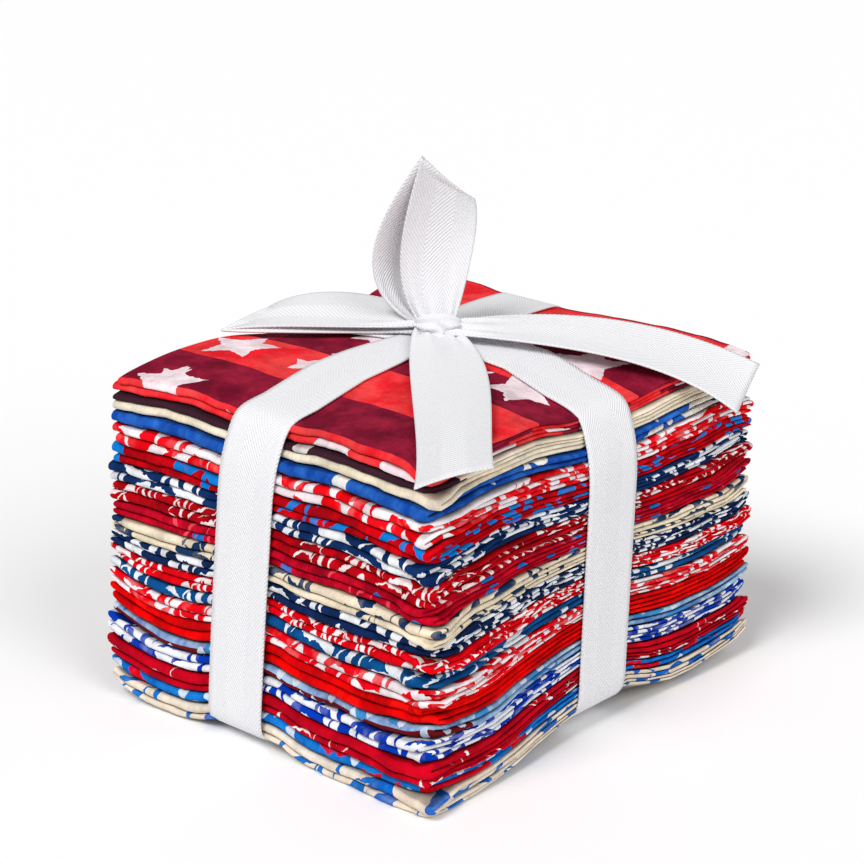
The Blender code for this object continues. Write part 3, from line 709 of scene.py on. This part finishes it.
class Stack:
    """The stack's shape: its top, its underside and the level surfaces between the cloths."""

    def __init__(self, sizes):
        self.half_x = sizes.stack_length / MM / 2
        self.half_y = sizes.stack_depth / MM / 2
        self.corner_height = sizes.corner_height / MM
        self.crown = sizes.crown / MM
        self.lane = sizes.tape_width / MM / 2 + LANE_CLEARANCE
        pitches = np.array([row[1] for row in FABRICS])
        self.shares = 1 - np.concatenate([[0], np.cumsum(pitches)]) / pitches.sum()

    def near_lane(self, distance):
        """1 in the tape's lane, falling as a bell curve on both sides of it."""
        return np.exp(-((np.maximum(np.abs(distance) - self.lane, 0) / PULL_REACH) ** 2))

    def near_corner(self, x, y):
        """1 at the front right corner, falling softly to 0 at the corner's reach from it."""
        right, front = CENTRE_X + self.half_x, CENTRE_Y - self.half_y
        return 1 - smooth_step(0, CORNER_REACH, np.hypot(right - x, y - front))

    def shares_out(self, x, y):
        """How far out a place lies from the middle, along X and Y: -1 and 1 at the sides and beyond."""
        u = np.clip((x - CENTRE_X) / self.half_x, -1, 1)
        v = np.clip((y - CENTRE_Y) / self.half_y, -1, 1)
        return u, v

    def crowned(self, x, y):
        """A crown over the corners' height."""
        u, v = self.shares_out(x, y)
        return self.corner_height + self.crown * (1 - u**2) * (1 - v**2)

    def rim(self, x, y):
        """What each side's rim adds to the top: its puff less the tape's dip, fading towards the middle."""
        u, v = self.shares_out(x, y)
        toward = {"front": -v, "back": v, "left": -u, "right": u}
        total = 0 * u
        for side, puff, more, dip, reach, middle in TOP_RIM:
            across, along = (x, u) if side in ("front", "back") else (y, v)
            beside = np.maximum(np.abs(across - middle) - self.lane, 0)
            rim = puff * (1 - along**4) * (1 + more * along) - dip * np.exp(-((beside / reach) ** 2))
            total = total + rim * np.maximum(toward[side], 0) ** 2
        return total

    def underside(self, x, y):
        """Flat on the surface, with a seat over the tape, drawn-up edges and curled corners."""
        u = (x - CENTRE_X) / self.half_x
        v = (y - CENTRE_Y) / self.half_y
        strip_u = 1 - EDGE_STRIP / self.half_x
        strip_v = 1 - EDGE_STRIP / self.half_y
        out_u = np.clip((np.abs(u) - strip_u) / (1 - strip_u), 0, None) ** EDGE_POWER
        out_v = np.clip((np.abs(v) - strip_v) / (1 - strip_v), 0, None) ** EDGE_POWER
        out = {
            "front": out_v * (v < 0), "back": out_v * (v > 0),
            "left": out_u * (u < 0), "right": out_u * (u > 0),
        }
        rise = 0 * u
        for side, pull, reach_before, reach_after in BOTTOM_PULL:
            across = x if side in ("front", "back") else y
            beside = np.maximum(np.abs(across) - self.lane, 0)
            reach = np.where(across < 0, reach_before, reach_after)
            rise = rise + out[side] * pull * np.exp(-((beside / reach) ** 2))
        for side_x, side_y, lift, sharp_x, sharp_y in CORNER_LIFTS:
            corner = np.maximum(side_x * u, 0) ** sharp_x * np.maximum(side_y * v, 0) ** sharp_y
            rise = rise + np.maximum(out_u, out_v) * lift * corner
        nearest = np.minimum(np.abs(x), np.abs(y))
        seat = TAPE_SEAT * (1 - smooth_step(self.lane, self.lane + SEAT_BLEND, nearest))
        return seat + rise

    def level(self, share, x, y):
        """A level surface's height: a share of the way up, with ripples that fade at top and underside.

        The rim is mostly the upper cloths' own, so it fades faster than the crown from the top downwards.
        """
        low, high = self.underside(x, y), self.crowned(x, y)
        u, v = self.shares_out(x, y)
        free = 1 - np.maximum(self.near_lane(x) * v**4, self.near_lane(y) * u**4)
        front, right, corner = (drift * share for drift in RIPPLE_DRIFTS)
        ripple = wander(7, x + front, *RIPPLE_FRONT) * v**6
        ripple = ripple + wander(8, y + right, *RIPPLE_RIGHT) * u**6
        ripple = ripple + wander(9, x - y + corner, *CORNER_RIPPLE) * self.near_corner(x, y)
        ripple = ripple * free * np.minimum(1, RIPPLE_FADE * share * (1 - share))
        return low + (high - low) * share + self.rim(x, y) * share**2 + ripple

    def edges(self, index, x, y):
        """Where a cloth ends at each side: shifted, leaning, and drawn in where the tape goes over it."""
        _, _, _, _, shift_x, shift_y = FABRICS[index]
        setback = TOP_SETBACK[index] if index < len(TOP_SETBACK) else 0
        pull = FACE_PULL + setback
        near_x, near_y = self.near_lane(x), self.near_lane(y)
        depth = 1 - (self.shares[index] + self.shares[index + 1]) / 2
        rightward = (x - CENTRE_X + self.half_x) / (2 * self.half_x)
        left = CENTRE_X - self.half_x + shift_x * (1 - near_y) + pull * near_y
        right = CENTRE_X + self.half_x + shift_x * (1 - near_y) - pull * near_y
        front = CENTRE_Y - self.half_y + shift_y * (1 - near_x) + pull * near_x
        back = CENTRE_Y + self.half_y + shift_y * (1 - near_x) - pull * near_x
        front = front - FRONT_FLARE * depth * (1 - rightward)
        back = back + (BACK_LEAN + BACK_FLARE * depth) * rightward
        return left, right, front, back


def folded_path(length, heights, insets, first_end, run_points, turn_points):
    """A path folded back and forth: straight runs at the given heights, joined by half circles.

    The first run heads for first_end (1 far, 0 near). The insets say how far the path's start and each run's
    finish stand back from the end. Returns position, height, the flat length passed, the run's number and
    the unit normal.
    """
    position, height, number = [], [], []
    start = insets[0] if first_end else length - insets[0]
    t = np.linspace(0, 1, run_points)
    # Points stand closer together towards a run's ends.
    t = 0.5 * t + 0.25 * (1 - np.cos(math.pi * t))
    toward = 1 if first_end else -1
    for run, level in enumerate(heights):
        last = run == len(heights) - 1
        radius = 0 if last else abs(heights[run + 1] - level) / 2
        end = length if toward > 0 else 0
        finish = end - toward * (insets[run + 1] + radius)
        position.append(start + (finish - start) * t)
        height.append(np.full(run_points, level))
        number.append(np.full(run_points, float(run)))
        if not last:
            turn = np.linspace(0, math.pi, turn_points + 2)[1:-1]
            rise = heights[run + 1] - level
            position.append(finish + toward * radius * np.sin(turn))
            height.append(level + rise * (1 - np.cos(turn)) / 2)
            number.append(run + turn / math.pi)
        start = finish
        toward = -toward
    position, height, number = (np.concatenate(part) for part in (position, height, number))
    flat = np.concatenate([[0], np.cumsum(np.hypot(np.diff(position), np.diff(height)))])
    tangent = np.column_stack([np.gradient(position, flat), np.gradient(height, flat)])
    tangent /= np.linalg.norm(tangent, axis=1, keepdims=True)
    normal = np.column_stack([-tangent[:, 1], tangent[:, 0]])
    return position, height, flat, number, normal


def cloth_points(stack, index):
    """The points of one folded cloth: a ply path across, carried along a path of runs.

    A point takes its place across from the ply path, and stands off the run path along that path's normal by
    its ply's height. Its edges are then drawn out to where the cloth ends at each side, and the two level
    surfaces that bound the packet give it its height in the stack. Its painted crease shade grows by a soft
    step of its distance inwards from the packet's sides, except on the top cloth's upper face.
    """
    _, pitch, runs, upper, _, _ = FABRICS[index]
    is_top = index == 0
    ply_points, run_points = TOP_POINTS if is_top else CLOTH_POINTS
    shares = [(1 - upper) / 2, (1 - upper) / 2, upper / 2, upper / 2] if runs == 4 else [0.5, 0.5]
    thick = np.array(shares) * (pitch - PACKET_GAP)
    middles = np.cumsum(thick) - thick / 2
    v, c, flat_b, number_b, normal_b = folded_path(
        2 * stack.half_y, list(middles), RUN_INSETS[runs], 0, run_points, TURN_POINTS[1])
    half_thick = np.interp(number_b, np.arange(runs), thick / 2) * FILL
    nominal = thick.mean() / 2
    heights = [height * nominal for height in PLIES[runs]]
    u, e, flat_a, _, _ = folded_path(
        2 * stack.half_x, heights, PLY_INSETS[runs], 1, ply_points, TURN_POINTS[0])
    e = e[:, None] / nominal
    v = v[None] + normal_b[None, :, 0] * e * half_thick[None]
    c = c[None] + normal_b[None, :, 1] * e * half_thick[None]
    u = np.broadcast_to(u[:, None], v.shape)
    inset = np.minimum(np.minimum(u, 2 * stack.half_x - u), np.minimum(v, 2 * stack.half_y - v))
    # Painted shade: points deep in a crease get a darker colour in the material.
    painted_crease_shade = smooth_step(*PAINTED_SHADE_DEPTHS, inset)
    if is_top:
        painted_crease_shade = painted_crease_shade * (1 - smooth_step(*TOP_PAINTED_SHADE_END, c / pitch))
    x = CENTRE_X - stack.half_x + u
    y = CENTRE_Y - stack.half_y + v
    left, right, front, back = stack.edges(index, x, y)
    # Runs 0 and 1 meet in the first fold at the front, runs 1 and 2 in one at the back, and so on. The
    # hundredth keeps rounding from putting a run's points with the wrong fold.
    fold_front = np.broadcast_to(np.floor((number_b + 0.01) / 2)[None], v.shape)
    fold_back = np.broadcast_to(np.floor((number_b + 1.01) / 2)[None], v.shape)
    free_x = 1 - stack.near_lane(x)
    free_y = 1 - stack.near_lane(y)
    corner = stack.near_corner(x, y)
    seeds = 100 * index + 10 * np.arange(3)
    slips = np.random.default_rng(index).uniform(-1, 1, (3, 3)) * (CORNER_SLIP, CORNER_SLIP, LEFT_SLIP)
    if is_top:
        slips[1, 2] = TOP_LEFT_SLIP
    for number, seed in enumerate(seeds):
        here, behind = fold_front == number, fold_back == number
        at_front, at_back = (
            free_x * wander(first, x, *FOLD_WANDER) + wander(first + 2, x, *FOLD_PUCKER)
            for first in (seed, seed + 1))
        front = front + here * at_front
        back = back + behind * at_back
        front = front + here * corner * slips[number, 0]
        right = right + here * corner * slips[number, 1]
        left = left + here * slips[number, 2] * np.clip(1 - v / (2 * stack.half_y), 0, 1)
    along = np.broadcast_to(flat_b[None], v.shape)
    left = left + free_y * wander(seeds[0] + 5, along, *END_WANDER)
    right = right + free_y * wander(seeds[0] + 6, along, *END_WANDER)
    x = left + (right - left) * u / (2 * stack.half_x)
    y = front + (back - front) * v / (2 * stack.half_y)
    to_right = np.clip(1 - (right - x) / CORNER_ROUND, 0, 1)
    to_front = np.clip(1 - (y - front) / CORNER_ROUND, 0, 1)
    x = x - CORNER_ROUND * to_right * (1 - np.sqrt(1 - to_front**2 / 2))
    y = y + CORNER_ROUND * to_front * (1 - np.sqrt(1 - to_right**2 / 2))
    low = stack.level(stack.shares[index + 1], x, y)
    high = stack.level(stack.shares[index], x, y)
    share = (c + PACKET_GAP / 2) / pitch
    uneven = wander(seeds[0] + 7, x + SHARE_SLANT * y, *SHARE_WANDER) / pitch
    share = share + uneven * np.sin(math.pi * np.clip(share, 0, 1))
    z = low + (high - low) * share
    points = np.stack([x, y, z], axis=-1)
    uv = np.stack(np.broadcast_arrays(flat_a[:, None], flat_b[None]), axis=-1)
    return points, uv, painted_crease_shade


def tape_path(cloud, gap, spacing, softness):
    """A closed line drawn tight round a flat cloud of points, at a gap from it, with points evenly spaced.

    For every direction round the circle it takes the cloud's furthest point that way and steps out by the
    gap. A bell-shaped average along the line then rounds its bends.
    """
    turn = np.linspace(0, 2 * math.pi, 721)[:-1]
    out = np.column_stack([np.cos(turn), np.sin(turn)])
    line = cloud[np.argmax(out @ cloud.T, axis=1)] + gap * out
    closed = np.concatenate([line, line[:1]])
    passed = np.concatenate([[0], np.cumsum(np.linalg.norm(np.diff(closed, axis=0), axis=1))])
    count = int(passed[-1] / spacing)
    at = np.arange(count) * passed[-1] / count
    line = np.column_stack([np.interp(at, passed, closed[:, axis]) for axis in range(2)])
    steps = np.arange(-round(3 * softness / spacing), round(3 * softness / spacing) + 1)
    weights = np.exp(-0.5 * (steps * spacing / softness) ** 2)
    weights /= weights.sum()
    return sum(weight * np.roll(line, step, axis=0) for step, weight in zip(steps, weights)), at


def tape_lean(leans, along, height):
    """How far a turn of the tape leans aside, by the angle at which a point lies round the stack's middle."""
    angle = np.degrees(np.arctan2(height - MIDDLE_HEIGHT, along))
    angles, amounts = zip(*leans)
    return np.interp(angle, angles, amounts, period=360)


def cubic_path(controls, steps):
    """Points along cubic stretches of four control points; neighbouring stretches share one."""
    controls = np.array(controls, float)
    t = np.linspace(0, 1, steps + 1)[:, None]
    points = [controls[:1]]
    for start in range(0, len(controls) - 1, 3):
        a, b, c, d = controls[start : start + 4]
        stretch = (1 - t) ** 3 * a + 3 * t * (1 - t) ** 2 * b + 3 * t**2 * (1 - t) * c + t**3 * d
        points.append(stretch[1:])
    return np.concatenate(points)


def strip_points(edges, width):
    """A strip of tape: straight across between two edge curves, cupped lengthwise, gathered at the knot.

    Each point is the mix of the two edges at its share across, moved along the strip's normal by the cup,
    which is a parabola across, and by the gathers, waves across that die away from the knot.
    """
    near, far = (cubic_path(edge, STRETCH_POINTS) for edge in edges)
    middle = (near + far) / 2
    along = np.gradient(middle, axis=0)
    passed = np.concatenate([[0], np.cumsum(np.linalg.norm(np.diff(middle, axis=0), axis=1))])
    normal = np.cross(along, far - near)
    normal /= np.linalg.norm(normal, axis=1, keepdims=True)
    share = np.linspace(0, 1, STRIP_ACROSS)
    has_free_end = len(edges[0]) == 4
    from_knot = passed if has_free_end else np.minimum(passed, passed[-1] - passed)
    wave = np.sin(2 * math.pi * GATHER_WAVES * share + GATHER_SHIFT * np.sin(2 * math.pi * share))
    gather = GATHER * np.exp(-((from_knot / GATHER_REACH) ** 2))[:, None] * wave[None]
    cup = STRIP_CUP * (1 - (2 * share[None] - 1) ** 2) * smooth_step(*CUP_BLEND, from_knot)[:, None]
    points = near[:, None] * (1 - share[None, :, None]) + far[:, None] * share[None, :, None]
    points = points + normal[:, None] * (cup + gather)[..., None]
    uv = np.stack(np.broadcast_arrays(passed[:, None], share[None] * width), axis=-1)
    return points, uv


def knot_points(width):
    """A squashed ball with gathers round a line through it, and a dimple.

    The distance from the middle is raised and lowered by a wave of the angle round the line, less so towards
    the line's two ends, and lowered by a bell curve about the dimple's direction.
    """
    turn = np.linspace(0, 2 * math.pi, KNOT_POINTS[0])[:-1]
    rise = np.linspace(-math.pi / 2, math.pi / 2, KNOT_POINTS[1])
    out = np.stack(np.broadcast_arrays(
        np.cos(turn)[:, None] * np.cos(rise)[None],
        np.sin(turn)[:, None] * np.cos(rise)[None],
        np.sin(rise)[None],
    ), axis=-1)
    line = np.array(KNOT_LINE)
    beside = np.array((-line[1], line[0], 0))
    ahead = out @ line
    angle = np.arctan2(out[..., 2], out @ beside)
    count, depth, twist = KNOT_GATHERS
    gathers = depth * np.sin(count * angle + twist * ahead) * np.sqrt(np.maximum(1 - ahead**2, 0))
    dimple = np.array(KNOT_DIMPLE) / np.linalg.norm(KNOT_DIMPLE)
    away = np.arccos(np.clip(out @ dimple, -1, 1))
    depth, reach = KNOT_DENT
    size = 1 + gathers - depth * np.exp(-((away / reach) ** 2))
    points = out * size[..., None] * np.array(KNOT_SIZE) + np.array(KNOT_CENTRE)
    uv = np.stack(np.broadcast_arrays(turn[:, None], rise[None]), axis=-1) * width / math.pi
    return points, uv


def tape_in_use():
    """The windings' material, of which the bow and the knot are made too."""
    mat = bpy.data.materials.get(TAPE_MATERIAL)
    if mat is None:
        raise RuntimeError("The bow and the knot are of the windings' tape: build the windings first")
    return mat


def give_thickness(piece, thickness):
    """Gives a sheet of tape its thickness, half to each side."""
    wall = piece.modifiers.new("thickness", "SOLIDIFY")
    wall.thickness = thickness
    wall.offset = 0


# Operators


class BUNDLE_OT_cloths(bpy.types.Operator):
    """Builds the folded cloths, each as one sheet in its fold"""

    bl_idname = "bundle.cloths"
    bl_label = "Folded cloths"

    def execute(self, context):
        stack = Stack(context.scene.bundle_sizes)
        for index, (node, *_) in enumerate(FABRICS):
            # Each cloth comes with the painted shade of its creases, which its material reads.
            points, uv, painted_crease_shade = cloth_points(stack, index)
            mat = printed_cotton(node, PATTERN_SHIFT * index)
            piece = make_piece("cloth_" + node[7:], points, uv, False, mat, painted_crease_shade)
            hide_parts(node)
        return {"FINISHED"}


class BUNDLE_OT_windings(bpy.types.Operator):
    """Builds the tape's two turns round the stack"""

    bl_idname = "bundle.windings"
    bl_label = "Tape windings"

    def execute(self, context):
        sizes = context.scene.bundle_sizes
        width, thickness = sizes.tape_width / MM, sizes.tape_thickness / MM
        clouds = []
        for piece in bpy.data.objects:
            if piece.name.startswith("cloth_"):
                place = np.empty(3 * len(piece.data.vertices))
                piece.data.vertices.foreach_get("co", place)
                clouds.append(place.reshape(-1, 3) / MM)
        if not clouds:
            raise RuntimeError("The tape goes round the cloths: build them first")
        cloud = np.concatenate(clouds)
        mat = tape_material(context.scene.bundle_studio.tape, width)
        across = np.linspace(-width / 2, width / 2, TURN_ACROSS)
        for name, beside, run, leans in WINDINGS:
            off = cloud[:, beside] - tape_lean(leans, cloud[:, run], cloud[:, 2])
            lane = cloud[np.abs(off) < width / 2 + LANE_MARGIN][:, [run, 2]]
            line, passed = tape_path(lane, TAPE_GAP + thickness / 2, TAPE_STEP, TAPE_SOFTNESS)
            middle = tape_lean(leans, line[:, 0], line[:, 1])
            points = np.empty((len(line), len(across), 3))
            points[..., run] = line[:, None, 0]
            points[..., 2] = np.maximum(line[:, None, 1], thickness / 2)
            from_knot = np.hypot(line[:, 0], line[:, 1] - KNOT_CENTRE[2])
            narrow = 1 - KNOT_NARROWING * np.exp(-((from_knot / NARROWING_REACH) ** 2))
            turned = across if run == 1 else -across
            points[..., beside] = middle[:, None] + narrow[:, None] * turned[None]
            uv = np.stack(np.broadcast_arrays(passed[:, None], across[None] + width / 2), axis=-1)
            piece = make_piece(name, points, uv, True, mat)
            give_thickness(piece, sizes.tape_thickness)
            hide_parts("tape")
        return {"FINISHED"}


class BUNDLE_OT_bow(bpy.types.Operator):
    """Builds the bow's two loops and two free ends"""

    bl_idname = "bundle.bow"
    bl_label = "Bow"

    def execute(self, context):
        sizes = context.scene.bundle_sizes
        mat = tape_in_use()
        for name, edges in BOW_STRIPS.items():
            points, uv = strip_points(edges, sizes.tape_width / MM)
            piece = make_piece(name, points, uv, False, mat)
            give_thickness(piece, sizes.tape_thickness)
            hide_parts("tape")
        return {"FINISHED"}


class BUNDLE_OT_knot(bpy.types.Operator):
    """Builds the knot where the loops and free ends meet"""

    bl_idname = "bundle.knot"
    bl_label = "Knot"

    def execute(self, context):
        points, uv = knot_points(context.scene.bundle_sizes.tape_width / MM)
        piece = make_piece("knot", points, uv, True, tape_in_use())
        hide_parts("tape")
        return {"FINISHED"}


class BUNDLE_OT_studio(bpy.types.Operator):
    """Builds the floor, the lights and the camera"""

    bl_idname = "bundle.studio"
    bl_label = "Studio"

    def execute(self, context):
        scene = context.scene
        studio = scene.bundle_studio
        mesh = bpy.data.meshes.new("floor")
        corners = [(x * FLOOR_REACH, y * FLOOR_REACH, 0) for x, y in ((-1, -1), (1, -1), (1, 1), (-1, 1))]
        mesh.from_pydata(corners, [], [(0, 1, 2, 3)])
        mat = bpy.data.materials.new("white studio paper")
        mat.use_nodes = True
        shader = mat.node_tree.nodes["Principled BSDF"]
        shader.inputs["Base Color"].default_value = studio.floor
        shader.inputs["Roughness"].default_value = FLOOR_ROUGHNESS
        shader.inputs["Specular IOR Level"].default_value = FLOOR_SHINE
        mesh.materials.append(mat)
        floor = bpy.data.objects.new("floor", mesh)
        scene.collection.objects.link(floor)
        world = bpy.data.worlds.new("room light")
        world.use_nodes = True
        sky = world.node_tree.nodes["Background"].inputs
        sky["Color"].default_value = (1, 1, 1, 1)
        sky["Strength"].default_value = studio.room
        scene.world = world
        scene.view_settings.view_transform = "Standard"
        suns = (("key", KEY_SUN, studio.key), ("fill", FILL_SUN, studio.fill))
        for name, (away, spread), power in suns:
            light = bpy.data.lights.new(name, "SUN")
            light.angle = math.radians(spread)
            light.energy = power
            lamp = bpy.data.objects.new(name, light)
            lamp.rotation_euler = look(-np.array(away))
            scene.collection.objects.link(lamp)
        data = bpy.data.cameras.new("camera")
        data.sensor_width = SENSOR_WIDTH
        data.lens = CAMERA_LENS
        turn, rise = math.radians(CAMERA_TURN), math.radians(CAMERA_RISE)
        away = np.array((math.sin(turn) * math.cos(rise), -math.cos(turn) * math.cos(rise), math.sin(rise)))
        camera = bpy.data.objects.new("camera", data)
        camera.location = (np.array(CAMERA_TARGET) + away * CAMERA_DISTANCE) * MM
        camera.rotation_euler = look(-away)
        scene.collection.objects.link(camera)
        scene.camera = camera
        return {"FINISHED"}


def look(direction):
    """Turns of an object whose -Z axis points along a direction, with +Z upwards in its picture."""
    x, y, z = direction
    return math.atan2(math.hypot(x, y), -z), 0.0, math.atan2(-x, y)


class BUNDLE_PT_panel(bpy.types.Panel):
    bl_label = "Fat quarter bundle"
    bl_idname = "BUNDLE_PT_panel"
    bl_space_type = "VIEW_3D"
    bl_region_type = "UI"
    bl_category = "Bundle"

    def draw(self, context):
        for group in (context.scene.bundle_sizes, context.scene.bundle_studio):
            for name in group.bl_rna.properties.keys():
                if name not in ("rna_type", "name"):
                    self.layout.prop(group, name)
        for operator in OPERATORS:
            self.layout.operator(operator.bl_idname)


OPERATORS = (BUNDLE_OT_cloths, BUNDLE_OT_windings, BUNDLE_OT_bow, BUNDLE_OT_knot, BUNDLE_OT_studio)
CLASSES = (BundleSizes, BundleStudio, *OPERATORS, BUNDLE_PT_panel)


def register():
    for cls in CLASSES:
        bpy.utils.register_class(cls)
    bpy.types.Scene.bundle_sizes = bpy.props.PointerProperty(type=BundleSizes)
    bpy.types.Scene.bundle_studio = bpy.props.PointerProperty(type=BundleStudio)


def unregister():
    del bpy.types.Scene.bundle_studio
    del bpy.types.Scene.bundle_sizes
    for cls in reversed(CLASSES):
        bpy.utils.unregister_class(cls)


def main():
    register()
    bpy.ops.bundle.cloths()
    bpy.ops.bundle.windings()
    bpy.ops.bundle.bow()
    bpy.ops.bundle.knot()
    bpy.ops.bundle.studio()


if __name__ == "__main__":
    main()
